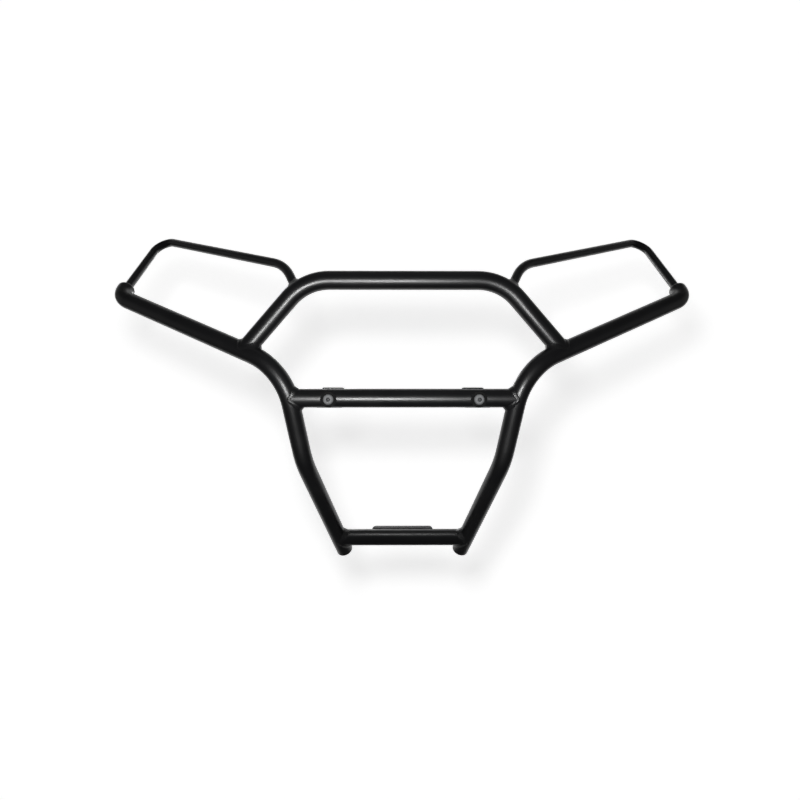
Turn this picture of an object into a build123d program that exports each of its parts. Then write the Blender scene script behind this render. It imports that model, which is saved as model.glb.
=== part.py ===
"""Front grille guard for a compact off-road vehicle, welded from bent round tube.

Millimetres, +Z up, the front faces -Y.  The origin is midway between the two vehicle bolt holes of
the upper brackets, on the brackets' rear faces.  A tube is placed by the corner points of its axis:
half widths run along X, depths along Y (negative is in front of the mounting plane) and heights
along Z (zero is the height of the middle cross tube and of the vehicle bolt holes).
"""
import os
from math import radians, tan

from build123d import *

os.makedirs("parts", exist_ok=True)

# ---------------------------------------------------------------- driving dimensions
# tube stock
main_tube_od = 38.0
main_tube_wall = 2.0
loop_tube_od = 19.0
loop_tube_wall = 2.0

# corner points of the side tube's axis, from the foot to the wing tip
foot_half_width, foot_depth, foot_height = 140.4, 124.5, -364.3
knee_half_width, knee_depth, knee_height = 208.5, -69.2, -134.7
shoulder_half_width, shoulder_depth, shoulder_height = 240.0, -137.5, 59.4
tip_half_width, tip_depth, tip_height = 637.6, 30.3, 228.1
tip_straight_past_bend = 2.0

# corner points of the top hoop and of the headlight loops
hoop_corner_half_width, hoop_corner_depth, hoop_corner_height = 199.6, -115.3, 238.2
hoop_foot_along_wing = 100.3
loop_outer_half_width, loop_outer_depth, loop_outer_height = 608.7, 197.6, 399.8
loop_inner_half_width, loop_inner_depth, loop_inner_height = 249.5, -66.6, 280.1
loop_foot_height = 217.0

# centre-line bend radii
knee_bend_radius = 158.0
shoulder_bend_radius = 111.0
tip_bend_radius = 40.0
hoop_bend_radius = 109.0
loop_outer_bend_radius = 30.0
loop_inner_bend_radius = 110.0

# lower cross tube
lower_cross_height = -329.9

# upper brackets, bent from flat bar
bracket_spacing = 308.0
bracket_width = 50.0
bracket_thickness = 5.0
bracket_inner_bend_radius = 1.5
bracket_front_top = 17.0
bracket_rear_top = 23.5
bracket_bottom = -20.0
bracket_corner_radius = 5.0
vehicle_hole_diameter = 11.0

# lower mount angle
angle_length = 146.0
angle_leg = 45.0
angle_thickness = 5.0
angle_inner_bend_radius = 3.5
angle_rise = 3.0
angle_corner_radius = 9.0
angle_bolt_spacing = 100.0
angle_hole_edge_distance = 17.0

# bracket bolts and what they clamp
bolt_spacing = 300.0
bolt_height = -3.0
bolt_diameter = 12.0
bolt_head_diameter = 21.0
bolt_head_height = 6.6
bolt_head_rim = 1.2
bolt_socket_across_flats = 8.0
bolt_socket_depth = 4.5
bolt_head_crown_diameter = 11.0
bolt_end_past_nut = 3.0
bolt_end_chamfer = 1.0
bolt_hole_clearance = 0.5
saddle_diameter = 32.0
saddle_seat_thickness = 2.5
saddle_wrap = 9.0
sleeve_diameter = 18.0
washer_diameter = 20.0
washer_thickness = 2.0
nut_across_flats = 18.0
nut_height = 8.0
nut_collar_diameter = 16.0
nut_collar_height = 4.0

# closures
cap_height = 7.5
cap_rim = 1.0
cap_seat_diameter = 28.0
plug_flange_thickness = 2.5
plug_spigot_length = 16.0
plug_edge_round = 1.2

# welds and fits
main_weld_leg = 6.0
loop_weld_leg = 4.0
weld_flank_stop = 1.5
angle_weld_length = 36.0
angle_weld_spacing = 84.0
angle_bead_near_edge = 7.6
angle_bead_far_edge = 13.3
cope_clearance = 0.1
slip_clearance = 0.1

# ---------------------------------------------------------------- sizes that follow
main_radius = main_tube_od / 2
main_bore_radius = main_radius - main_tube_wall
loop_radius = loop_tube_od / 2
bolt_radius = bolt_diameter / 2
bolt_hole_radius = bolt_radius + bolt_hole_clearance
cutter_length = 2 * main_tube_od
sides = {"left": -1, "right": 1}


def place(side, half_width, depth, height):
    """Return a point of the left (-1) or right (+1) half."""
    return Vector(side * half_width, depth, height)


def axis_path(points, radii):
    """Return the wire of a tube's axis: straight runs joined by tangent bends."""
    with BuildLine() as path:
        FilletPolyline(*points, radius=radii)
    return path.wire()


def square_to(path, end):
    """Return the plane square to a path at its start (0) or end (1), facing along the path."""
    return Plane(origin=path @ end, z_dir=path % end)


def swept_bar(path, radius):
    """Return a solid round bar along a path, to cope or weld another tube against."""
    with BuildPart() as bar:
        with BuildSketch(square_to(path, 0)):
            Circle(radius)
        sweep(path=path)
    return bar.part


def swept_tube(path, outer_radius, wall):
    """Return a round tube along a path."""
    with BuildPart() as tube:
        with BuildSketch(square_to(path, 0)):
            Circle(outer_radius)
            Circle(outer_radius - wall, mode=Mode.SUBTRACT)
        sweep(path=path)
    return tube.part


def straight_bar(start, end, radius):
    """Return a solid round bar between two points."""
    with BuildPart() as bar:
        with BuildSketch(Plane(origin=start, z_dir=end - start)):
            Circle(radius)
        extrude(amount=(end - start).length)
    return bar.part


def corner_bead(host_path, host_direction, start, foot, joining_radius, leg):
    """Return the weld in the corner between a main tube and a tube that ends on its axis.

    The joining tube runs from start to foot, which lies on the host tube's axis.  A thin tube is
    welded all round; one as thick as its host is welded in the two crotches and not on the flanks.
    Each crotch has a flat face, as far along the one tube as along the other.
    """
    outward = (start - foot).normalized()
    flank = host_direction.cross(outward)
    half_reach = min(joining_radius + leg, main_radius - weld_flank_stop)
    with BuildPart() as bead:
        with BuildSketch(Plane(origin=start, x_dir=flank, z_dir=-outward)):
            Circle(joining_radius + leg)
            Circle(joining_radius, mode=Mode.SUBTRACT)
            Rectangle(2 * half_reach, 4 * main_radius, mode=Mode.INTERSECT)
        extrude(amount=(foot - start).length - weld_flank_stop)
        add(swept_bar(host_path, main_radius), mode=Mode.SUBTRACT)
        add(swept_bar(host_path, main_radius + leg), mode=Mode.INTERSECT)
        sine = flank.length
        for along in (host_direction, -host_direction):
            crotch = foot + outward * (main_radius / sine) + along * (joining_radius / sine)
            face = Plane(origin=crotch + (outward + along) * (leg / 2), z_dir=outward + along)
            with BuildSketch(face):
                Rectangle(4 * main_radius, 4 * main_radius)
            extrude(amount=leg, mode=Mode.SUBTRACT)
    return bead.part


def share_at_height(path, height):
    """Return the share of a rising path's length at which it first reaches a height."""
    low, high = 0.0, 1.0
    for _ in range(50):
        middle = (low + high) / 2
        if (path @ middle).Z < height:
            low = middle
        else:
            high = middle
    return low


def lengthwise_plane(end_plane):
    """Return the plane through an end plane's axis, with the axis as its Y direction."""
    return Plane(origin=end_plane.origin, x_dir=end_plane.x_dir, z_dir=-end_plane.y_dir)


def dome(base, rim_radius, crown_radius, rim, height):
    """Return a turned dome on a base plane: straight rim, elliptical shoulder and flat crown."""
    with BuildPart() as turned:
        with BuildSketch(lengthwise_plane(base)):
            with BuildLine():
                Polyline(
                    (rim_radius, rim),
                    (rim_radius, 0),
                    (0, 0),
                    (0, height),
                    (crown_radius, height),
                )
                EllipticalCenterArc(
                    (crown_radius, rim),
                    rim_radius - crown_radius,
                    height - rim,
                    start_angle=0,
                    arc_size=90,
                )
            make_face()
        revolve(axis=Axis(base.origin, base.z_dir))
    return turned.part


def export(part, label):
    """Label a finished piece and write its STEP file."""
    part.label = label
    export_step(part, f"parts/{label}.step")


# ---------------------------------------------------------------- axes of the tubes
side_paths = {}
wing_directions = {}
hoop_feet = {}
hoop_corners = {}
for name, side in sides.items():
    foot = place(side, foot_half_width, foot_depth, foot_height)
    knee = place(side, knee_half_width, knee_depth, knee_height)
    shoulder = place(side, shoulder_half_width, shoulder_depth, shoulder_height)
    tip = place(side, tip_half_width, tip_depth, tip_height)
    loop_outer = place(side, loop_outer_half_width, loop_outer_depth, loop_outer_height)
    wing_direction = (tip - shoulder).normalized()
    tail_direction = (loop_outer - tip).normalized()
    tip_tangent = tip_bend_radius * tan(radians(wing_direction.get_angle(tail_direction) / 2))
    tail = tip + tail_direction * (tip_tangent + tip_straight_past_bend)
    side_paths[name] = axis_path(
        [foot, knee, shoulder, tip, tail],
        [knee_bend_radius, shoulder_bend_radius, tip_bend_radius],
    )
    wing_directions[name] = wing_direction
    hoop_feet[name] = shoulder + wing_direction * hoop_foot_along_wing
    hoop_corners[name] = place(
        side, hoop_corner_half_width, hoop_corner_depth, hoop_corner_height
    )

hoop_path = axis_path(
    [hoop_feet["left"], hoop_corners["left"], hoop_corners["right"], hoop_feet["right"]],
    [hoop_bend_radius, hoop_bend_radius],
)

middle_cross_share = share_at_height(side_paths["right"], 0)
lower_cross_share = share_at_height(side_paths["right"], lower_cross_height)
middle_cross_end = side_paths["right"] @ middle_cross_share
lower_cross_end = side_paths["right"] @ lower_cross_share
loop_foot_share = share_at_height(hoop_path, loop_foot_height)
loop_foot_shares = {"left": loop_foot_share, "right": 1 - loop_foot_share}

loop_paths = {}
for name, side in sides.items():
    cap_seat = side_paths[name] @ 1 + (side_paths[name] % 1) * cap_height
    loop_outer = place(side, loop_outer_half_width, loop_outer_depth, loop_outer_height)
    loop_inner = place(side, loop_inner_half_width, loop_inner_depth, loop_inner_height)
    loop_paths[name] = axis_path(
        [cap_seat, loop_outer, loop_inner, hoop_path @ loop_foot_shares[name]],
        [loop_outer_bend_radius, loop_inner_bend_radius],
    )

# ---------------------------------------------------------------- side tubes
cope_bars = {}
for name in sides:
    export(swept_tube(side_paths[name], main_radius, main_tube_wall), f"{name}_side_tube")
    cope_bars[name] = swept_bar(side_paths[name], main_radius + cope_clearance)

# ---------------------------------------------------------------- top hoop
with BuildPart() as top_hoop_tube:
    add(swept_tube(hoop_path, main_radius, main_tube_wall))
    for name in sides:
        add(cope_bars[name], mode=Mode.SUBTRACT)
export(top_hoop_tube.part, "top_hoop_tube")
hoop_cope_bar = swept_bar(hoop_path, main_radius + cope_clearance)

# ---------------------------------------------------------------- headlight loops
for name in sides:
    with BuildPart() as headlight_loop:
        add(swept_tube(loop_paths[name], loop_radius, loop_tube_wall))
        add(hoop_cope_bar, mode=Mode.SUBTRACT)
    export(headlight_loop.part, f"{name}_headlight_loop")

# ---------------------------------------------------------------- cross tubes
bolt_places = {
    name: Vector(side * bolt_spacing / 2, middle_cross_end.Y, bolt_height)
    for name, side in sides.items()
}


def cross_tube(end):
    """Return a straight tube between the side tubes, coped to both."""
    start = Vector(-end.X, end.Y, end.Z)
    with BuildPart() as tube:
        with BuildSketch(Plane(origin=start, z_dir=end - start)):
            Circle(main_radius)
            Circle(main_bore_radius, mode=Mode.SUBTRACT)
        extrude(amount=(end - start).length)
        for name in sides:
            add(cope_bars[name], mode=Mode.SUBTRACT)
    return tube.part


with BuildPart() as middle_cross_tube:
    add(cross_tube(middle_cross_end))
    with Locations(*bolt_places.values()):
        Cylinder(
            sleeve_diameter / 2 + slip_clearance,
            cutter_length,
            rotation=(90, 0, 0),
            mode=Mode.SUBTRACT,
        )
export(middle_cross_tube.part, "middle_cross_tube")
export(cross_tube(lower_cross_end), "lower_cross_tube")

# ---------------------------------------------------------------- bolted joints of the brackets
seat_offset = main_radius + saddle_seat_thickness
flange_front = middle_cross_end.Y + seat_offset
flange_rear = flange_front + bracket_thickness
nut_seat = flange_rear + washer_thickness
nut_rear = nut_seat + nut_height + nut_collar_height
head_seat = middle_cross_end.Y - seat_offset


def facing(depth, place_x, towards):
    """Return the plane square to Y at a depth, on a bolt's axis, facing the front or the rear."""
    origin = (place_x, depth, bolt_height)
    return Plane(origin=origin, x_dir=(1, 0, 0), z_dir=(0, towards, 0))


for name, side in sides.items():
    bolt_x = side * bolt_spacing / 2
    bracket_x = side * bracket_spacing / 2
    tube_bar = straight_bar(
        Vector(bolt_x - saddle_diameter, middle_cross_end.Y, 0),
        Vector(bolt_x + saddle_diameter, middle_cross_end.Y, 0),
        main_radius,
    )

    with BuildPart() as crush_sleeve:
        with BuildSketch(facing(middle_cross_end.Y, bolt_x, 1)):
            Circle(sleeve_diameter / 2)
            Circle(bolt_hole_radius, mode=Mode.SUBTRACT)
        extrude(amount=main_radius, both=True)
    export(crush_sleeve.part, f"{name}_crush_sleeve")

    for position, towards in {"front": -1, "rear": 1}.items():
        seat = middle_cross_end.Y + towards * seat_offset
        sleeve_end = middle_cross_end.Y + towards * main_radius
        with BuildPart() as saddle_washer:
            with BuildSketch(facing(seat, bolt_x, -towards)):
                Circle(saddle_diameter / 2)
                Circle(bolt_hole_radius, mode=Mode.SUBTRACT)
            extrude(amount=saddle_seat_thickness + saddle_wrap)
            add(tube_bar, mode=Mode.SUBTRACT)
            with BuildSketch(facing(sleeve_end, bolt_x, -towards)):
                Circle(sleeve_diameter / 2 + slip_clearance)
            extrude(amount=saddle_wrap, mode=Mode.SUBTRACT)
        export(saddle_washer.part, f"{name}_{position}_saddle_washer")

    with BuildPart() as bracket_bolt:
        add(
            dome(
                facing(head_seat, bolt_x, -1),
                bolt_head_diameter / 2,
                bolt_head_crown_diameter / 2,
                bolt_head_rim,
                bolt_head_height,
            )
        )
        with BuildSketch(facing(head_seat - bolt_head_height, bolt_x, 1)):
            RegularPolygon(bolt_socket_across_flats / 2, 6, major_radius=False)
        extrude(amount=bolt_socket_depth, mode=Mode.SUBTRACT)
        with BuildSketch(facing(head_seat, bolt_x, 1)):
            Circle(bolt_radius)
        extrude(amount=nut_rear + bolt_end_past_nut - head_seat)
        chamfer(bracket_bolt.edges().sort_by(Axis.Y)[-1], bolt_end_chamfer)
    export(bracket_bolt.part, f"{name}_bracket_bolt")

    with BuildPart() as flat_washer:
        with BuildSketch(facing(flange_rear, bolt_x, 1)):
            Circle(washer_diameter / 2)
            Circle(bolt_hole_radius, mode=Mode.SUBTRACT)
        extrude(amount=washer_thickness)
    export(flat_washer.part, f"{name}_flat_washer")

    with BuildPart() as lock_nut:
        with BuildSketch(facing(nut_seat, bolt_x, 1)):
            RegularPolygon(nut_across_flats / 2, 6, major_radius=False)
        extrude(amount=nut_height)
        with BuildSketch(facing(nut_seat + nut_height, bolt_x, 1)):
            Circle(nut_collar_diameter / 2)
        extrude(amount=nut_collar_height)
        with BuildSketch(facing(nut_seat, bolt_x, 1)):
            Circle(bolt_radius + slip_clearance)
        extrude(amount=nut_height + nut_collar_height, mode=Mode.SUBTRACT)
    export(lock_nut.part, f"{name}_lock_nut")

    with BuildPart() as upper_bracket:
        with BuildSketch(Plane.YZ.offset(bracket_x - bracket_width / 2)):
            with BuildLine():
                FilletPolyline(
                    (flange_front + bracket_thickness / 2, bracket_front_top),
                    (flange_front + bracket_thickness / 2, bracket_bottom + bracket_thickness / 2),
                    (-bracket_thickness / 2, bracket_bottom + bracket_thickness / 2),
                    (-bracket_thickness / 2, bracket_rear_top),
                    radius=bracket_inner_bend_radius + bracket_thickness / 2,
                )
            trace(line_width=bracket_thickness)
        extrude(amount=bracket_width)
        with Locations((bolt_x, flange_front, bolt_height)):
            Cylinder(
                bolt_hole_radius,
                cutter_length,
                rotation=(90, 0, 0),
                mode=Mode.SUBTRACT,
            )
        with Locations((bracket_x, 0, 0)):
            Cylinder(
                vehicle_hole_diameter / 2,
                cutter_length,
                rotation=(90, 0, 0),
                mode=Mode.SUBTRACT,
            )
        top_corners = upper_bracket.edges().filter_by(Axis.Y).group_by(Axis.Z)
        fillet(top_corners[-1] + top_corners[-2], bracket_corner_radius)
    export(upper_bracket.part, f"{name}_upper_bracket")

# ---------------------------------------------------------------- lower mount angle
angle_front = lower_cross_end.Y + main_radius
angle_top = lower_cross_height + main_radius + angle_rise
angle_bottom = angle_top - angle_leg
angle_rear = angle_front + angle_leg
with BuildPart() as lower_mount_angle:
    with BuildSketch(Plane.YZ.offset(-angle_length / 2)):
        with BuildLine():
            FilletPolyline(
                (angle_front + angle_thickness / 2, angle_top),
                (angle_front + angle_thickness / 2, angle_bottom + angle_thickness / 2),
                (angle_rear, angle_bottom + angle_thickness / 2),
                radius=angle_inner_bend_radius + angle_thickness / 2,
            )
        trace(line_width=angle_thickness)
    extrude(amount=angle_length)
    with Locations((0, angle_rear - angle_hole_edge_distance, angle_bottom)):
        with GridLocations(angle_bolt_spacing, 0, 2, 1):
            Cylinder(vehicle_hole_diameter / 2, cutter_length, mode=Mode.SUBTRACT)
    rise_corners = lower_mount_angle.edges().filter_by(Axis.Y).group_by(Axis.Z)[-1]
    shelf_corners = lower_mount_angle.edges().filter_by(Axis.Z).group_by(Axis.Y)[-1]
    fillet(rise_corners + shelf_corners, angle_corner_radius)
export(lower_mount_angle.part, "lower_mount_angle")

with BuildPart() as lower_angle_welds:
    with GridLocations(angle_weld_spacing, 0, 2, 1):
        with Locations(
            (0, angle_front - main_weld_leg, lower_cross_height + angle_bead_near_edge),
            (0, angle_front - main_weld_leg, lower_cross_height - angle_bead_far_edge),
        ):
            Box(
                angle_weld_length,
                main_weld_leg,
                angle_bead_far_edge - angle_bead_near_edge,
                align=(Align.CENTER, Align.MIN, Align.MIN),
            )
    add(
        straight_bar(
            Vector(-lower_cross_end.X, lower_cross_end.Y, lower_cross_end.Z),
            lower_cross_end,
            main_radius,
        ),
        mode=Mode.SUBTRACT,
    )
export(lower_angle_welds.part, "lower_angle_welds")

# ---------------------------------------------------------------- closures of the side tubes
for name in sides:
    cap_plane = square_to(side_paths[name], 1)
    with BuildPart() as wing_end_cap:
        add(dome(cap_plane, main_radius, cap_seat_diameter / 2, cap_rim, cap_height))
        with BuildSketch(cap_plane):
            Circle(main_bore_radius - slip_clearance)
        extrude(amount=-tip_straight_past_bend)
    export(wing_end_cap.part, f"{name}_wing_end_cap")

    foot_plane = Plane(origin=side_paths[name] @ 0, z_dir=-(side_paths[name] % 0))
    with BuildPart() as foot_plug:
        with BuildSketch(foot_plane):
            Circle(main_radius)
        extrude(amount=plug_flange_thickness)
        outward = Axis(foot_plane.origin, foot_plane.z_dir)
        fillet(foot_plug.edges().sort_by(outward)[-1], plug_edge_round)
        with BuildSketch(foot_plane):
            Circle(main_bore_radius - slip_clearance)
        extrude(amount=-plug_spigot_length)
    export(foot_plug.part, f"{name}_foot_plug")

# ---------------------------------------------------------------- weld beads in the tube corners
bead_reach = 2 * main_tube_od
cross_joints = {
    "middle": (middle_cross_share, middle_cross_end),
    "lower": (lower_cross_share, lower_cross_end),
}
for name, side in sides.items():
    side_path = side_paths[name]
    hoop_foot = hoop_feet[name]
    up_the_leg = (hoop_corners[name] - hoop_foot).normalized()
    hoop_weld = corner_bead(
        side_path,
        wing_directions[name],
        hoop_foot + up_the_leg * bead_reach,
        hoop_foot,
        main_radius,
        main_weld_leg,
    )
    export(hoop_weld, f"{name}_hoop_weld")

    for position, (share, end) in cross_joints.items():
        cross_foot = place(side, end.X, end.Y, end.Z)
        cross_weld = corner_bead(
            side_path,
            side_path % share,
            cross_foot - Vector(side * bead_reach, 0, 0),
            cross_foot,
            main_radius,
            main_weld_leg,
        )
        export(cross_weld, f"{name}_{position}_cross_weld")

    loop_direction = loop_paths[name] % 1
    loop_foot = hoop_path @ loop_foot_shares[name]
    loop_weld = corner_bead(
        hoop_path,
        hoop_path % loop_foot_shares[name],
        loop_foot - loop_direction * bead_reach,
        loop_foot,
        loop_radius,
        loop_weld_leg,
    )
    export(loop_weld, f"{name}_loop_hoop_weld")

    tip_plane = square_to(loop_paths[name], 0)
    with BuildPart() as loop_cap_weld:
        with BuildSketch(lengthwise_plane(tip_plane)):
            Polygon(
                (loop_radius, 0),
                (loop_radius + loop_weld_leg, 0),
                (loop_radius, loop_weld_leg),
                align=None,
            )
        revolve(axis=Axis(tip_plane.origin, tip_plane.z_dir))
    export(loop_cap_weld.part, f"{name}_loop_cap_weld")
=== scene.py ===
"""Dresses the front grille guard: powder-coated tube, plated fasteners and rippled weld beads.

Metres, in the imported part's frame: +Z up, the front faces -Y.
"""
import logging
import math
from dataclasses import dataclass
from enum import Enum

import bmesh
import bpy
import numpy as np
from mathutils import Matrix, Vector
from mathutils.bvhtree import BVHTree


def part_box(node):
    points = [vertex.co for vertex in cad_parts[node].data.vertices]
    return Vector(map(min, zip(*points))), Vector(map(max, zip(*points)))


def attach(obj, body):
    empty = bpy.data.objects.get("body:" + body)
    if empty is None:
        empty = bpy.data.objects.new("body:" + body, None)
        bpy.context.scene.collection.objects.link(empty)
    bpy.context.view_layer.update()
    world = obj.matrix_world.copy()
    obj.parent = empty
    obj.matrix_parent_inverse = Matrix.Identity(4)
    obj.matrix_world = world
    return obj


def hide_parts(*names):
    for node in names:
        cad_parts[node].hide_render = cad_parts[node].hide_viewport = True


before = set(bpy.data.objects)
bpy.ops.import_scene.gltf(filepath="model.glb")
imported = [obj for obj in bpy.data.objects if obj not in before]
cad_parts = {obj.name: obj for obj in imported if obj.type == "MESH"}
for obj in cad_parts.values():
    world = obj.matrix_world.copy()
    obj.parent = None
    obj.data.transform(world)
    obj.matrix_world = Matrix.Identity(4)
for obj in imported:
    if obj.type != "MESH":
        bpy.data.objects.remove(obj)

log = logging.getLogger("grille_guard")
# A millimetre in metres.
MM = 0.001
# Most values of a noise texture lie between these two.
NOISE_LOW, NOISE_HIGH = 0.3, 0.7


class Side(Enum):
    """The two halves of the guard."""

    LEFT = "left"
    RIGHT = "right"

    def node(self, piece: str) -> str:
        """Return the name of this side's CAD node of a piece."""
        return f"{self.value}_{piece}"

    @staticmethod
    def nodes(pieces: tuple[str, ...]) -> tuple[str, ...]:
        """Return the names of both sides' CAD nodes of some pieces."""
        return tuple(side.node(piece) for piece in pieces for side in Side)


class Reach(Enum):
    """Which pieces a lamp lights."""

    EVERY_PIECE = "ALL"
    ONLY_LISTED = "INCLUDE"
    ALL_BUT_LISTED = "EXCLUDE"


def hex_to_linear(code: str) -> tuple[float, float, float, float]:
    """Turn an sRGB hex colour into linear RGBA.

    Args:
        code: six hex digits, with or without a leading '#'.

    Returns:
        The linear red, green and blue, and an alpha of 1.
    """
    digits = code.lstrip("#")
    channels = [int(digits[i:i + 2], 16) / 255 for i in (0, 2, 4)]
    linear = [c / 12.92 if c <= 0.04045 else ((c + 0.055) / 1.055) ** 2.4 for c in channels]
    return (linear[0], linear[1], linear[2], 1.0)


def add_node(
    tree: bpy.types.NodeTree,
    kind: str,
    settings: dict[str | int, object] | None = None,
    links: dict[str | int, bpy.types.NodeSocket] | None = None,
) -> bpy.types.Node:
    """Add one shader node with its settings and incoming links.

    Args:
        tree: the node tree to add to.
        kind: the node's type name.
        settings: property names, and input names or indices, with their values.
        links: input names or indices with the output sockets that feed them.

    Returns:
        The new node.
    """
    node = tree.nodes.new(kind)
    for name, value in (settings or {}).items():
        if isinstance(name, int) or name in node.inputs:
            node.inputs[name].default_value = value
        else:
            setattr(node, name, value)
    for name, source in (links or {}).items():
        tree.links.new(source, node.inputs[name])
    return node


def new_material(name: str) -> bpy.types.Material:
    """Return an empty node material.

    Args:
        name: the material's name.

    Returns:
        The material, with no nodes in it.
    """
    material = bpy.data.materials.new(name)
    material.use_nodes = True
    material.node_tree.nodes.clear()
    return material


# ---------------------------------------------------------------- finishes
@dataclass(frozen=True)
class PowderCoat:
    """Polyester powder coat, sprayed on the steel and baked: near black and satin.

    Attributes:
        name: the material's name.
        colour: the coat's colour.
        worn_colour: the colour where sun and dust have dulled it.
        roughness: the mean roughness of a satin coat.
        roughness_spread: how far the roughness strays either way.
        ior: the resin's index of refraction.
        peel_mm: the width of the orange peel's bumps.
        peel_height_mm: the height of the bumps.
        cloud_mm: the size of the slow changes of colour and sheen.
    """

    name: str = "powder_coat_satin_black"
    colour: str = "#060607"
    worn_colour: str = "#0A0A0B"
    roughness: float = 0.36
    roughness_spread: float = 0.04
    ior: float = 1.5
    peel_mm: float = 3.0
    peel_height_mm: float = 0.003
    cloud_mm: float = 60.0

    def material(self) -> bpy.types.Material:
        """Make the coat.

        Returns:
            The coat as a node material.
        """
        material = new_material(self.name)
        tree = material.node_tree
        place = add_node(tree, "ShaderNodeTexCoord").outputs["Object"]
        # The sheen drifts slowly, which keeps the long tubes from looking drawn.
        clouds = add_node(
            tree, "ShaderNodeTexNoise",
            {"Scale": 1 / (self.cloud_mm * MM), "Detail": 3.0}, {"Vector": place},
        )
        tint = add_node(
            tree, "ShaderNodeMix",
            {
                "data_type": "RGBA",
                6: hex_to_linear(self.colour), 7: hex_to_linear(self.worn_colour),
            },
            {0: clouds.outputs["Fac"]},
        )
        sheen = add_node(
            tree, "ShaderNodeMapRange",
            {
                "From Min": NOISE_LOW, "From Max": NOISE_HIGH,
                "To Min": self.roughness - self.roughness_spread,
                "To Max": self.roughness + self.roughness_spread,
            },
            {"Value": clouds.outputs["Fac"]},
        )
        # Powder that flowed in the oven leaves an orange peel. It breaks the highlights a little.
        peel = add_node(
            tree, "ShaderNodeTexNoise",
            {"Scale": 1 / (self.peel_mm * MM), "Detail": 1.0, "Roughness": 0.4},
            {"Vector": place},
        )
        bump = add_node(
            tree, "ShaderNodeBump",
            {"Distance": self.peel_height_mm * MM}, {"Height": peel.outputs["Fac"]},
        )
        coat = add_node(
            tree, "ShaderNodeBsdfPrincipled", {"IOR": self.ior},
            {
                "Base Color": tint.outputs[2],
                "Roughness": sheen.outputs["Result"],
                "Normal": bump.outputs["Normal"],
            },
        )
        add_node(tree, "ShaderNodeOutputMaterial", links={"Surface": coat.outputs["BSDF"]})
        return material


@dataclass(frozen=True)
class ZincPlate:
    """Zinc plate on drawn steel, dulled outdoors: a mid grey metal with a broad soft shine.

    Attributes:
        name: the material's name.
        colour: the colour of sound plate.
        dull_colour: the colour where it has oxidised.
        metallic: the share that still shines as metal through the dull film.
        roughness: the mean roughness.
        roughness_spread: how far the roughness strays either way.
        blotch_mm: the size of the blotches that the bath leaves.
        painted_shade_colour: the colour painted into recesses as shade.
        shade_reach_mm: how near a wall has to be for shade to be painted.
        shade_rays: how many rays look for a wall.
        all_shade_below: the open share of the sky below which the plate is all painted shade.
        no_shade_above: the open share of the sky above which no shade is painted.
        scratch_mm: the spacing of the lines that drawing leaves.
        scratch_height_mm: the height of the lines.
    """

    name: str = "zinc_plate_dulled"
    colour: str = "#7E7F80"
    dull_colour: str = "#626364"
    metallic: float = 0.5
    roughness: float = 0.68
    roughness_spread: float = 0.06
    blotch_mm: float = 3.0
    # Painted shade for recesses, set by how much of the sky each point sees.
    painted_shade_colour: str = "#1B1B1C"
    shade_reach_mm: float = 5.0
    shade_rays: int = 8
    all_shade_below: float = 0.45
    no_shade_above: float = 0.9
    # The real lines are about 0.05 mm apart, too fine to show, so these are drawn coarser.
    scratch_mm: float = 0.35
    scratch_height_mm: float = 0.004

    def material(self) -> bpy.types.Material:
        """Make the plating.

        Returns:
            The plating as a node material.
        """
        material = new_material(self.name)
        tree = material.node_tree
        place = add_node(tree, "ShaderNodeTexCoord").outputs["Object"]
        # Blotches of oxide make the heads look mottled, duller where they are darker.
        blotches = add_node(
            tree, "ShaderNodeTexNoise",
            {"Scale": 1 / (self.blotch_mm * MM), "Detail": 4.0}, {"Vector": place},
        )
        tint = add_node(
            tree, "ShaderNodeMix",
            {
                "data_type": "RGBA",
                6: hex_to_linear(self.dull_colour), 7: hex_to_linear(self.colour),
            },
            {0: blotches.outputs["Fac"]},
        )
        # Painted shade: the plate is darkened in the socket and round the head, where little of the
        # sky is open, so that the hexagon and the rim stand out.
        open_sky = add_node(
            tree, "ShaderNodeAmbientOcclusion",
            {"Distance": self.shade_reach_mm * MM, "samples": self.shade_rays},
        )
        unshaded_share = add_node(
            tree, "ShaderNodeMapRange",
            {"From Min": self.all_shade_below, "From Max": self.no_shade_above},
            {"Value": open_sky.outputs["AO"]},
        )
        shade_painted = add_node(
            tree, "ShaderNodeMix", {"data_type": "RGBA", 6: hex_to_linear(self.painted_shade_colour)},
            {0: unshaded_share.outputs["Result"], 7: tint.outputs[2]},
        )
        dullness = add_node(
            tree, "ShaderNodeMapRange",
            {
                "From Min": NOISE_LOW, "From Max": NOISE_HIGH,
                "To Min": self.roughness + self.roughness_spread,
                "To Max": self.roughness - self.roughness_spread,
            },
            {"Value": blotches.outputs["Fac"]},
        )
        drawn = add_node(
            tree, "ShaderNodeTexNoise",
            {"Scale": 1 / (self.scratch_mm * MM), "Detail": 1.0}, {"Vector": place},
        )
        bump = add_node(
            tree, "ShaderNodeBump",
            {"Distance": self.scratch_height_mm * MM}, {"Height": drawn.outputs["Fac"]},
        )
        plate = add_node(
            tree, "ShaderNodeBsdfPrincipled", {"Metallic": self.metallic},
            {
                "Base Color": shade_painted.outputs[2],
                "Roughness": dullness.outputs["Result"],
                "Normal": bump.outputs["Normal"],
            },
        )
        add_node(tree, "ShaderNodeOutputMaterial", links={"Surface": plate.outputs["BSDF"]})
        return material


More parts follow.
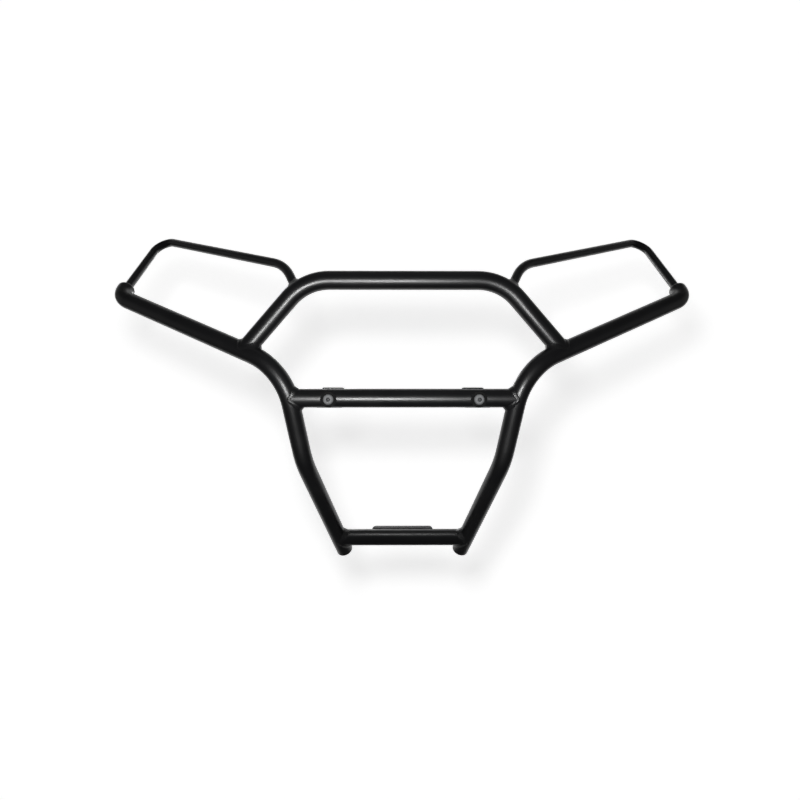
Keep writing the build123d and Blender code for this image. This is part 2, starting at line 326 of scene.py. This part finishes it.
@dataclass(frozen=True)
class MouldedBlack:
    """A black moulded polymer, given a fine grain by its mould, so that it hardly shines.

    Attributes:
        name: the material's name.
        colour: the polymer's colour.
        roughness: its roughness.
        grain_mm: the width of the mould's grain, drawn a few times coarser than the real one,
            which is too fine to show.
        grain_height_mm: the height of the grain.
        specular: the strength of its gloss, where 0.5 is that of a clean smooth surface.
        ior: the polymer's index of refraction.
    """

    name: str
    colour: str
    roughness: float
    grain_mm: float
    grain_height_mm: float = 0.02
    specular: float = 0.2
    ior: float = 1.5

    def material(self) -> bpy.types.Material:
        """Make the polymer.

        Returns:
            The polymer as a node material.
        """
        material = new_material(self.name)
        tree = material.node_tree
        place = add_node(tree, "ShaderNodeTexCoord").outputs["Object"]
        grain = add_node(
            tree, "ShaderNodeTexVoronoi",
            {"Scale": 1 / (self.grain_mm * MM), "feature": "SMOOTH_F1"}, {"Vector": place},
        )
        bump = add_node(
            tree, "ShaderNodeBump",
            {"Distance": self.grain_height_mm * MM}, {"Height": grain.outputs["Distance"]},
        )
        skin = add_node(
            tree, "ShaderNodeBsdfPrincipled",
            {
                "Base Color": hex_to_linear(self.colour), "Roughness": self.roughness,
                "IOR": self.ior, "Specular IOR Level": self.specular,
            },
            {"Normal": bump.outputs["Normal"]},
        )
        add_node(tree, "ShaderNodeOutputMaterial", links={"Surface": skin.outputs["BSDF"]})
        return material


# Glass-filled nylon for the saddle washers: dead matt, so that it frames the plated bolt heads.
SADDLE_NYLON = MouldedBlack(
    name="saddle_nylon_black", colour="#070707", roughness=0.85, grain_mm=0.5,
)
# Polyethylene for the foot plugs: a little softer and glossier than the nylon.
PLUG_POLYETHYLENE = MouldedBlack(
    name="plug_polyethylene_black", colour="#0B0B0B", roughness=0.5, grain_mm=0.9,
    grain_height_mm=0.03, specular=0.35,
)


# ---------------------------------------------------------------- weld beads
@dataclass(frozen=True)
class Tube:
    """A straight stretch of round tube, found from the triangles of its CAD node.

    Attributes:
        point: a point on the axis.
        direction: the axis direction, from the joint into the tube.
        radius: the outer radius.
    """

    point: Vector
    direction: Vector
    radius: float

    @staticmethod
    def near(node: str, joint: Vector, reach: float) -> "Tube":
        """Find the tube that ends near a joint.

        The walls of a straight tube all face square to its axis, so the axis is the direction in
        which their normals have the least spread, and the wall's points then give the radius.

        Args:
            node: the CAD node of the tube.
            joint: a point near the tube's end.
            reach: how far from the joint a triangle may touch to be counted.

        Returns:
            The straight stretch.
        """
        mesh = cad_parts[node].data
        corners = np.array(
            [[mesh.vertices[i].co[:] for i in face.vertices] for face in mesh.polygons]
        )
        normals = np.array([face.normal[:] for face in mesh.polygons])
        areas = np.array([face.area for face in mesh.polygons])
        distances = np.linalg.norm(corners - np.array(joint), axis=2).min(axis=1)
        # First every face near the joint, then only those that face square to the axis found.
        kept = distances < reach
        for slack in (1.0, 0.05, 0.02):
            spread = (normals[kept].T * areas[kept]) @ normals[kept]
            axis = np.linalg.eigh(spread)[1][:, 0]
            kept = (distances < reach) & (np.abs(normals @ axis) < slack)
        centres = corners[kept].mean(axis=1)
        weights = areas[kept] / areas[kept].sum()
        middle = weights @ centres
        # Along the axis, the outer wall is a circle, where place = centre + radius * normal. The
        # line through all its faces that fits best gives both.
        outer = ((centres - middle) * normals[kept]).sum(axis=1) > 0
        flat = np.eye(3) - np.outer(axis, axis)
        points, facing = (centres[outer] - middle) @ flat, normals[kept][outer] @ flat
        share = areas[kept][outer] / areas[kept][outer].sum()
        mean_point, mean_facing = share @ points, share @ facing
        product = ((points - mean_point) * (facing - mean_facing)).sum(axis=1)
        square = ((facing - mean_facing) ** 2).sum(axis=1)
        radius = (share @ product) / (share @ square)
        centre = middle + mean_point - radius * mean_facing
        away = (middle - np.array(joint)) @ axis
        direction = Vector(axis if away > 0 else -axis).normalized()
        return Tube(Vector(centre), direction, float(radius))


@dataclass(frozen=True)
class WeldPools:
    """The surface that a hand-held torch leaves: overlapping pools like a row of coins.

    Attributes:
        pitch: the distance from one pool's crest to the next.
        height: the height of a crest over its trough.
        crown: how far the middle stands over the toes where two surfaces run into each other.
        hollow: how far the middle dips in a square corner, as a share of the bead's width.
        lag: how far a pool's middle trails its edges, as a share of the pitch.
        rise_rate: how fast the crests rise to their full height from the toes.
        sunk: how deep the toes lie in the tubes, so that no gap shows.
        steps_across: the number of faces from toe to toe.
    """

    pitch: float = 3.4 * MM
    height: float = 0.35 * MM
    crown: float = 0.5 * MM
    hollow: float = 0.07
    lag: float = 0.45
    rise_rate: float = 1.6
    sunk: float = 0.25 * MM
    steps_across: int = 10

    def section(
        self, toe_wall: Vector, toe_host: Vector, up: Vector, run: float, corner: float
    ) -> list[Vector]:
        """Return the points across the bead at one place along it.

        Args:
            toe_wall: the toe on the joining piece.
            toe_host: the toe on the host.
            up: the direction out of the corner.
            run: the distance along the bead.
            corner: how square the corner is, from 0 for none to 1 for a right angle.

        Returns:
            The points, from the joining piece to the host.
        """
        bulge = self.crown * (1 - corner) - self.hollow * (toe_host - toe_wall).length * corner
        points = []
        for k in range(self.steps_across + 1):
            share = k / self.steps_across
            # Both are parabolas: rise is 0 at the toes and 1 in the middle of the bead, and pool is
            # 0 in a trough and 1 on a crest.
            rise = 4 * share * (1 - share)
            phase = run / self.pitch + self.lag * rise
            pool = 1 - (2 * (phase % 1) - 1) ** 2
            ripple = pool * self.height * min(1.0, self.rise_rate * rise)
            lift = rise * bulge + ripple - self.sunk
            points.append(toe_wall.lerp(toe_host, share) + up * lift)
        return points

    def mesh(self, name: str, sections: list[list[Vector]], closed: bool) -> bpy.types.Mesh:
        """Join sections into a smooth mesh.

        Args:
            name: the mesh's name.
            sections: the points across the bead, place by place along it.
            closed: whether the last section joins the first.

        Returns:
            The mesh.
        """
        width = self.steps_across + 1
        steps = len(sections) if closed else len(sections) - 1
        faces = []
        for i in range(steps):
            for k in range(self.steps_across):
                here, there = i * width + k, (i + 1) % len(sections) * width + k
                faces.append((here, here + 1, there + 1, there))
        mesh = bpy.data.meshes.new(name)
        mesh.from_pydata([point for section in sections for point in section], [], faces)
        mesh.shade_smooth()
        return mesh


def place_bead(mesh: bpy.types.Mesh, replaced: str, finish: bpy.types.Material) -> None:
    """Put a bead's mesh on the guard in place of a CAD weld.

    Args:
        mesh: the bead's mesh, in the frame.
        replaced: the CAD node that it stands for.
        finish: the material that it gets.
    """
    mesh.materials.append(finish)
    bead = bpy.data.objects.new(mesh.name, mesh)
    bpy.context.scene.collection.objects.link(bead)
    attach(bead, "root")
    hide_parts(replaced)


@dataclass(frozen=True)
class CornerBead:
    """A fillet bead all round the end of a tube.

    Attributes:
        replaced: the CAD node that it stands for.
        joining: the CAD node of the tube that ends here.
        host: the CAD node that it is welded to.
        leg: the length of the bead's legs in a square corner.
        narrowest: the share of the leg that is left where the tubes' surfaces run together.
        pools: the look of its surface.
        reach: how far from the joint the joining tube is straight.
        steps_round: the number of sections round the tube.
        smoothing: how often the root line is averaged with its neighbours.
    """

    replaced: str
    joining: str
    host: str
    leg: float
    narrowest: float = 0.4
    pools: WeldPools = WeldPools()
    reach: float = 45 * MM
    steps_round: int = 360
    smoothing: int = 5

    def root(self, host: BVHTree) -> tuple[list[Vector], list[Vector], list[Vector]]:
        """Find the line where the two surfaces meet, by looking down the joining tube's wall.

        Args:
            host: the host's surface.

        Returns:
            The points of the line, the host's normals there and the joining tube's normals there.
        """
        low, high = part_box(self.replaced)
        joint = (low + high) / 2
        tube = Tube.near(self.joining, joint, self.reach)
        across = tube.direction.orthogonal().normalized()
        other = tube.direction.cross(across)
        along = (joint - tube.point).dot(tube.direction)
        start = tube.point + tube.direction * (along + self.reach)
        points, host_normals, wall_normals = [], [], []
        for step in range(self.steps_round):
            angle = 2 * math.pi * step / self.steps_round
            out = across * math.cos(angle) + other * math.sin(angle)
            hit, normal, _, _ = host.ray_cast(start + out * tube.radius, -tube.direction)
            if hit is not None:
                points.append(hit)
                host_normals.append(normal)
                wall_normals.append(out)
        count = len(points)
        for _ in range(self.smoothing):
            points = [
                (points[i - 1] + points[i] * 2 + points[(i + 1) % count]) / 4 for i in range(count)
            ]
        return points, host_normals, wall_normals

    def build(self, finish: bpy.types.Material) -> None:
        """Build the bead and put it in the CAD weld's place.

        Args:
            finish: the material that it gets.
        """
        host = BVHTree.FromObject(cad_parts[self.host], bpy.context.evaluated_depsgraph_get())
        points, host_normals, wall_normals = self.root(host)
        count = len(points)
        lengths = [(points[(i + 1) % count] - points[i]).length for i in range(count)]
        # The pitch is stretched a little, so that the last pool meets the first.
        pool_count = max(1, round(sum(lengths) / self.pools.pitch))
        stretch = pool_count * self.pools.pitch / sum(lengths)
        run, turn, sections = 0.0, 0, []
        for i in range(count):
            tangent = (points[(i + 1) % count] - points[i - 1]).normalized()
            on_host = tangent.cross(host_normals[i]).normalized()
            on_wall = wall_normals[i].cross(tangent).normalized()
            turn = turn or (1 if on_host.dot(wall_normals[i]) > 0 else -1)
            corner = min(1.0, 1 - host_normals[i].dot(wall_normals[i]))
            leg = turn * self.leg * (self.narrowest + (1 - self.narrowest) * corner)
            toe_host = host.find_nearest(points[i] + on_host * leg)[0]
            toe_wall = points[i] + on_wall * leg
            up = (host_normals[i] + wall_normals[i]).normalized()
            sections.append(self.pools.section(toe_wall, toe_host, up, run * stretch, corner))
            run += lengths[i]
        place_bead(self.pools.mesh(f"{self.replaced}_bead", sections, True), self.replaced, finish)
        log.info("%s_bead: %d pools over %.0f mm", self.replaced, pool_count, run / MM)


@dataclass(frozen=True)
class AngleBeads:
    """The short straight beads between the lower cross tube and its mount angle.

    Attributes:
        replaced: the CAD node that they stand for.
        tube: the CAD node of the tube.
        pools: the look of their surface.
        steps_along: the number of sections along each.
        taper: the length over which an end runs out.
        drop_in_legs: how far the toe on the angle lies from the tube's axis, in legs of the bead.
    """

    replaced: str = "lower_angle_welds"
    tube: str = "lower_cross_tube"
    pools: WeldPools = WeldPools()
    steps_along: int = 120
    taper: float = 4 * MM
    drop_in_legs: int = 3

    def sections(self, inner: float, way: int, above: int) -> list[list[Vector]]:
        """Return the sections of one bead.

        Args:
            inner: how far from the middle of the tube it begins.
            way: -1 for a bead towards -X and 1 for one towards +X.
            above: 1 for a bead over the tube and -1 for one under it.

        Returns:
            The points across the bead, place by place along it.
        """
        low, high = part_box(self.replaced)
        tube_low, tube_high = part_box(self.tube)
        axis, radius = (tube_low + tube_high) / 2, (tube_high.z - tube_low.z) / 2
        drop = (high.z - low.z) / 2
        leg = drop / self.drop_in_legs
        depth = math.sqrt(radius ** 2 - drop ** 2)
        sections = []
        for step in range(self.steps_along + 1):
            run = (high.x - inner) * step / self.steps_along
            end = min(1.0, run / self.taper, (high.x - inner - run) / self.taper)
            x, root_z = way * (inner + run), axis.z + above * (drop - leg)
            root = Vector((x, axis.y + math.sqrt(radius ** 2 - (root_z - axis.z) ** 2), root_z))
            on_tube = root.lerp(Vector((x, axis.y + depth, axis.z + above * drop)), end)
            on_angle = Vector((x, high.y, axis.z + above * (drop - leg * (1 - end))))
            up = Vector((0, 0, above))
            sections.append(self.pools.section(on_tube, on_angle, up, run, end))
        return sections

    def build(self, finish: bpy.types.Material) -> None:
        """Build two beads over the tube and two under it, as one piece.

        Args:
            finish: the material that they get.
        """
        inner = min(abs(point.co.x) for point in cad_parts[self.replaced].data.vertices)
        joined = bpy.data.meshes.new(f"{self.replaced}_beads")
        shape = bmesh.new()
        for way in (-1, 1):
            for above in (-1, 1):
                bead = self.pools.mesh("angle_bead", self.sections(inner, way, above), False)
                shape.from_mesh(bead)
                bpy.data.meshes.remove(bead)
        shape.to_mesh(joined)
        shape.free()
        joined.shade_smooth()
        place_bead(joined, self.replaced, finish)


@dataclass(frozen=True)
class Welds:
    """The guard's beads: wide ones on the frame's tubes, and smaller ones round the end caps.

    Attributes:
        main_leg: the legs where the hoop and the middle cross tube meet the side tubes.
        foot_leg: the legs at the ends of the lower cross tube.
        loop_leg: the legs where a headlight loop stands on the hoop.
        cap_leg: the legs where a headlight loop stands on a wing end cap.
    """

    main_leg: float = 8.5 * MM
    foot_leg: float = 11.0 * MM
    loop_leg: float = 11.0 * MM
    cap_leg: float = 7.0 * MM

    def build(self, finish: bpy.types.Material) -> None:
        """Build the bead of each joint.

        Args:
            finish: the material of the beads.
        """
        for side in Side:
            side_tube, loop = side.node("side_tube"), side.node("headlight_loop")
            joints = (
                ("hoop_weld", "top_hoop_tube", side_tube, self.main_leg),
                ("middle_cross_weld", "middle_cross_tube", side_tube, self.main_leg),
                ("lower_cross_weld", "lower_cross_tube", side_tube, self.foot_leg),
                ("loop_hoop_weld", loop, "top_hoop_tube", self.loop_leg),
                ("loop_cap_weld", loop, side.node("wing_end_cap"), self.cap_leg),
            )
            for replaced, joining, host, leg in joints:
                CornerBead(side.node(replaced), joining, host, leg).build(finish)
        AngleBeads().build(finish)


# ---------------------------------------------------------------- sub-assemblies kept from the CAD
@dataclass(frozen=True)
class KeptPieces:
    """Pieces that keep their CAD shapes and get one finish.

    Attributes:
        single: the CAD nodes on the middle line.
        paired: the pieces that the guard has one of on each side.
    """

    single: tuple[str, ...] = ()
    paired: tuple[str, ...] = ()

    def nodes(self) -> tuple[str, ...]:
        """Return the names of all the CAD nodes."""
        return self.single + Side.nodes(self.paired)

    def dress(self, finish: bpy.types.Material) -> None:
        """Give every node the finish.

        Args:
            finish: the material that they get.
        """
        for node in self.nodes():
            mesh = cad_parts[node].data
            mesh.materials.clear()
            mesh.materials.append(finish)
            log.info("%s: %s", node, finish.name)


@dataclass(frozen=True)
class TubeFrame(KeptPieces):
    """The bent tubes, with the caps that close the wings' turned ends."""

    single: tuple[str, ...] = ("top_hoop_tube", "middle_cross_tube", "lower_cross_tube")
    paired: tuple[str, ...] = ("side_tube", "headlight_loop", "wing_end_cap")


@dataclass(frozen=True)
class Mounts(KeptPieces):
    """The plates that meet the vehicle: two upper brackets and the lower angle."""

    single: tuple[str, ...] = ("lower_mount_angle",)
    paired: tuple[str, ...] = ("upper_bracket",)


@dataclass(frozen=True)
class FootPlugs(KeptPieces):
    """The plugs that close the side tubes' lower ends."""

    paired: tuple[str, ...] = ("foot_plug",)


@dataclass(frozen=True)
class BracketBolts:
    """The bolted joints of the middle cross tube: plated steel through black saddle washers.

    Attributes:
        plated: the steel pieces.
        moulded: the nylon pieces.
    """

    plated: KeptPieces = KeptPieces(
        paired=("bracket_bolt", "flat_washer", "lock_nut", "crush_sleeve")
    )
    moulded: KeptPieces = KeptPieces(paired=("front_saddle_washer", "rear_saddle_washer"))

    def dress(self, plate: bpy.types.Material, nylon: bpy.types.Material) -> None:
        """Plate the fasteners and blacken the saddles.

        Args:
            plate: the zinc plate.
            nylon: the saddles' nylon.
        """
        self.plated.dress(plate)
        self.moulded.dress(nylon)


# ---------------------------------------------------------------- studio
@dataclass(frozen=True)
class Lamp:
    """An elliptical area lamp of a given brightness.

    Attributes:
        name: the lamp's name.
        place: where it stands.
        target: the point it faces.
        half_width: its horizontal half axis.
        half_height: its vertical half axis.
        radiance: its brightness, in watts per steradian and square metre.
        reach: whether it lights every piece, only the listed ones or all but those.
        pieces: the listed CAD nodes.
    """

    name: str
    place: Vector
    target: Vector
    half_width: float
    half_height: float
    radiance: float
    reach: Reach = Reach.EVERY_PIECE
    pieces: tuple[str, ...] = ()

    def build(self, diffuse: bool, glossy: bool) -> None:
        """Add the lamp to the scene.

        Args:
            diffuse: whether it lights what it shines on.
            glossy: whether it shows in reflections.
        """
        data = bpy.data.lights.new(self.name, "AREA")
        data.shape = "ELLIPSE"
        data.size, data.size_y = 2 * self.half_width, 2 * self.half_height
        area = math.pi * self.half_width * self.half_height
        data.energy = self.radiance * area * math.pi
        lamp = bpy.data.objects.new(self.name, data)
        lamp.location = self.place
        lamp.rotation_mode = "QUATERNION"
        lamp.rotation_quaternion = (self.target - self.place).to_track_quat("-Z", "Y")
        lamp.visible_camera = False
        lamp.visible_diffuse = diffuse
        lamp.visible_glossy = glossy
        bpy.context.scene.collection.objects.link(lamp)
        if self.reach is not Reach.EVERY_PIECE:
            listed = bpy.data.collections.new(f"{self.name}_pieces")
            for node in self.pieces:
                listed.objects.link(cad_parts[node])
            for member in listed.collection_objects:
                member.light_linking.link_state = self.reach.value
            lamp.light_linking.receiver_collection = listed


@dataclass(frozen=True)
class Studio:
    """A white studio: a wall far behind the guard, one lamp over the camera, and softboxes.

    The lamp lights the guard and throws its soft shadow on the wall. The softboxes only draw the
    highlights: they show in reflections and light nothing else.

    Attributes:
        wall_distance: how far the wall stands behind the origin.
        wall_half_width: half the wall's width and height.
        wall_colour: the colour of the wall's paint.
        wall_light: how bright the lamp makes the wall straight before it, where 1 is white.
        wall_white: how bright the wall looks where no shadow falls.
        world_light: how bright the surroundings are to light that falls on the guard.
        world_sheen: how much brighter they are in its reflections.
        key_from_eye: the lamp's place from the camera: right, forward and up.
        key_radius: the radius of the lamp, which sets how soft the shadow is.
        front_from_eye: the place of the two front softboxes from the camera.
        front_target: the point they face.
        bar_place: the place of the softbox for the lower cross tube.
        bar_target: the point it faces.
    """

    wall_distance: float = 1.9
    wall_half_width: float = 3.2
    wall_colour: str = "#E7E7E7"
    wall_light: float = 0.264
    wall_white: float = 0.985
    world_light: float = 0.03
    world_sheen: float = 0.02
    key_from_eye: tuple[float, float, float] = (-0.055, 0.0, 0.125)
    key_radius: float = 0.065
    front_from_eye: tuple[float, float, float] = (-0.10, 0.0, -0.21)
    front_target: tuple[float, float, float] = (-0.05, -0.13, 0.08)
    bar_place: tuple[float, float, float] = (0.0, -0.53, 0.45)
    bar_target: tuple[float, float, float] = (0.0, 0.095, -0.33)

    @staticmethod
    def seen(tree: bpy.types.NodeTree) -> bpy.types.NodeSocket:
        """Tell the rays that see a backdrop from those that carry its light.

        Args:
            tree: the node tree to add to.

        Returns:
            An output that is 1 for camera, glossy and transmission rays and 0 for the rest.
        """
        path = add_node(tree, "ShaderNodeLightPath")
        glossy = add_node(
            tree, "ShaderNodeMath", {"operation": "MAXIMUM"},
            {0: path.outputs["Is Camera Ray"], 1: path.outputs["Is Glossy Ray"]},
        )
        every = add_node(
            tree, "ShaderNodeMath", {"operation": "MAXIMUM"},
            {0: glossy.outputs[0], 1: path.outputs["Is Transmission Ray"]},
        )
        return every.outputs[0]

    def wall_material(self, lamp: Vector) -> bpy.types.Material:
        """Make the wall's matt white paint, brightened off the lamp's axis so that it stays white.

        Args:
            lamp: the lamp's place.

        Returns:
            The material.
        """
        material = new_material("studio_wall_white")
        tree = material.node_tree
        depth = self.wall_distance - lamp.y
        place = add_node(tree, "ShaderNodeNewGeometry").outputs["Position"]
        from_lamp = add_node(
            tree, "ShaderNodeVectorMath", {"operation": "DISTANCE", 1: lamp}, {0: place}
        )
        cosine = add_node(
            tree, "ShaderNodeMath", {"operation": "DIVIDE", 0: depth},
            {1: from_lamp.outputs["Value"]},
        )
        # The lamp's light on a wall square to it falls off with the fourth power of the cosine.
        falloff = add_node(
            tree, "ShaderNodeMath", {"operation": "POWER", 1: 4.0}, {0: cosine.outputs[0]}
        )
        fill = add_node(
            tree, "ShaderNodeMath",
            {"operation": "MULTIPLY_ADD", 1: -self.wall_light, 2: self.wall_white},
            {0: falloff.outputs[0]},
        )
        glow = add_node(
            tree, "ShaderNodeMath", {"operation": "MULTIPLY"},
            {0: fill.outputs[0], 1: self.seen(tree)},
        )
        white = add_node(
            tree, "ShaderNodeBsdfPrincipled",
            {
                "Base Color": hex_to_linear(self.wall_colour),
                "Roughness": 1.0, "Specular IOR Level": 0.0,
                "Emission Color": hex_to_linear("#FFFFFF"),
            },
            {"Emission Strength": glow.outputs[0]},
        )
        add_node(tree, "ShaderNodeOutputMaterial", links={"Surface": white.outputs["BSDF"]})
        return material

    def wall(self, lamp: Vector) -> None:
        """Build the wall behind the guard.

        Args:
            lamp: the place of the lamp that lights it.
        """
        half, y = self.wall_half_width, self.wall_distance
        mesh = bpy.data.meshes.new("studio_wall")
        corners = [(-half, y, -half), (half, y, -half), (half, y, half), (-half, y, half)]
        mesh.from_pydata(corners, [], [(0, 1, 2, 3)])
        mesh.materials.append(self.wall_material(lamp))
        wall = bpy.data.objects.new("studio_wall", mesh)
        bpy.context.scene.collection.objects.link(wall)

    def world(self) -> None:
        """Make the surroundings: white to the camera, dim to everything else."""
        world = bpy.data.worlds.new("studio_surroundings")
        world.use_nodes = True
        tree = world.node_tree
        tree.nodes.clear()
        path = add_node(tree, "ShaderNodeLightPath")
        mirrored = add_node(
            tree, "ShaderNodeMath", {"operation": "MAXIMUM"},
            {0: path.outputs["Is Glossy Ray"], 1: path.outputs["Is Transmission Ray"]},
        )
        sheen = add_node(
            tree, "ShaderNodeMath",
            {"operation": "MULTIPLY_ADD", 1: self.world_sheen, 2: self.world_light},
            {0: mirrored.outputs[0]},
        )
        level = add_node(
            tree, "ShaderNodeMath", {"operation": "MAXIMUM"},
            {0: sheen.outputs[0], 1: path.outputs["Is Camera Ray"]},
        )
        white = add_node(
            tree, "ShaderNodeBackground", {"Color": hex_to_linear("#FFFFFF")},
            {"Strength": level.outputs[0]},
        )
        add_node(tree, "ShaderNodeOutputWorld", links={"Surface": white.outputs["Background"]})
        bpy.context.scene.world = world

    def softboxes(self, eye: Vector) -> tuple[Lamp, ...]:
        """Return the softboxes that draw highlights on the tubes.

        Args:
            eye: the camera's place.

        Returns:
            One box under the camera for the main tubes, a weaker one there for the plated pieces
            alone, one for the lower bar alone, one overhead, one by the wall, and a side box and a
            rim box on each side.
        """
        low, chest, middle = eye + Vector(self.front_from_eye), Vector(self.front_target), Vector()
        lower_bar, plated = ("lower_cross_tube",), BracketBolts().plated.nodes()
        kept_dull = lower_bar + plated + Side.nodes(("headlight_loop",))
        boxes = [
            Lamp(
                "front_softbox", low, chest, half_width=0.18, half_height=0.15,
                radiance=75.0, reach=Reach.ALL_BUT_LISTED, pieces=kept_dull,
            ),
            Lamp(
                "bolt_softbox", low, chest, half_width=0.18, half_height=0.15,
                radiance=20.0, reach=Reach.ONLY_LISTED, pieces=plated,
            ),
            Lamp(
                "bar_softbox", Vector(self.bar_place), Vector(self.bar_target),
                half_width=0.25, half_height=0.09,
                radiance=10.5, reach=Reach.ONLY_LISTED, pieces=lower_bar,
            ),
            Lamp(
                "top_softbox", Vector((0.0, -0.4, 2.4)), middle,
                half_width=1.2, half_height=0.6, radiance=0.12,
            ),
            Lamp(
                "rear_softbox", Vector((-0.45, 1.7, 0.55)), middle,
                half_width=0.3, half_height=0.2, radiance=6.0,
            ),
        ]
        for side in (-1, 1):
            boxes += [
                Lamp(
                    "side_softbox", Vector((side * 2.6, 0.0, 0.3)), middle,
                    half_width=1.0, half_height=1.0, radiance=0.15,
                ),
                Lamp(
                    "rim_softbox", Vector((side * 3.3, 1.7, 2.4)), middle,
                    half_width=0.9, half_height=0.9, radiance=0.2,
                ),
            ]
        return tuple(boxes)

    def build(self, eye: Vector) -> None:
        """Build the whole studio.

        Args:
            eye: the camera's place.
        """
        place = eye + Vector(self.key_from_eye)
        self.wall(place)
        self.world()
        # The lamp is as bright as it takes to give the wall before it its level.
        area = math.pi * self.key_radius ** 2
        depth = self.wall_distance - place.y
        irradiance = self.wall_light * math.pi / hex_to_linear(self.wall_colour)[0]
        key = Lamp(
            "key_lamp", place, place + Vector((0, 1, 0)),
            half_width=self.key_radius, half_height=self.key_radius,
            radiance=irradiance * depth ** 2 / area,
        )
        key.build(diffuse=True, glossy=False)
        for softbox in self.softboxes(eye):
            softbox.build(diffuse=False, glossy=True)


@dataclass(frozen=True)
class Eye:
    """The camera: a moderately wide lens in front of the middle cross tube.

    Attributes:
        distance_to_cross_tube: how far it stands in front of the middle cross tube's axis.
        right: how far it stands to the right of the guard's middle.
        turn_right_degrees: how far it is turned to the right.
        lens_mm: the focal length.
        sensor_mm: the sensor's width.
        shift_up: the lens's upward shift, as a share of the sensor's width.
    """

    distance_to_cross_tube: float = 1.213
    right: float = -0.0158
    turn_right_degrees: float = 0.393
    lens_mm: float = 27.0
    sensor_mm: float = 36.0
    shift_up: float = -0.00233

    def build(self) -> Vector:
        """Add the camera and make it the scene's.

        Returns:
            The camera's place.
        """
        low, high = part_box("middle_cross_tube")
        middle = (low + high) / 2
        data = bpy.data.cameras.new("view_camera")
        data.lens = self.lens_mm
        data.sensor_width = self.sensor_mm
        data.shift_y = self.shift_up
        camera = bpy.data.objects.new("view_camera", data)
        camera.location = (self.right, middle.y - self.distance_to_cross_tube, middle.z)
        camera.rotation_euler = (math.radians(90), 0, -math.radians(self.turn_right_degrees))
        bpy.context.scene.collection.objects.link(camera)
        bpy.context.scene.camera = camera
        return camera.location.copy()


def main() -> None:
    """Dress the guard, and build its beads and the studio."""
    logging.basicConfig(level=logging.INFO, format="%(name)s: %(message)s")
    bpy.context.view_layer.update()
    coat = PowderCoat().material()
    TubeFrame().dress(coat)
    Mounts().dress(coat)
    BracketBolts().dress(ZincPlate().material(), SADDLE_NYLON.material())
    FootPlugs().dress(PLUG_POLYETHYLENE.material())
    Welds().build(coat)
    eye = Eye().build()
    Studio().build(eye)
    bpy.context.scene.view_settings.view_transform = "Standard"


if __name__ == "__main__":
    main()
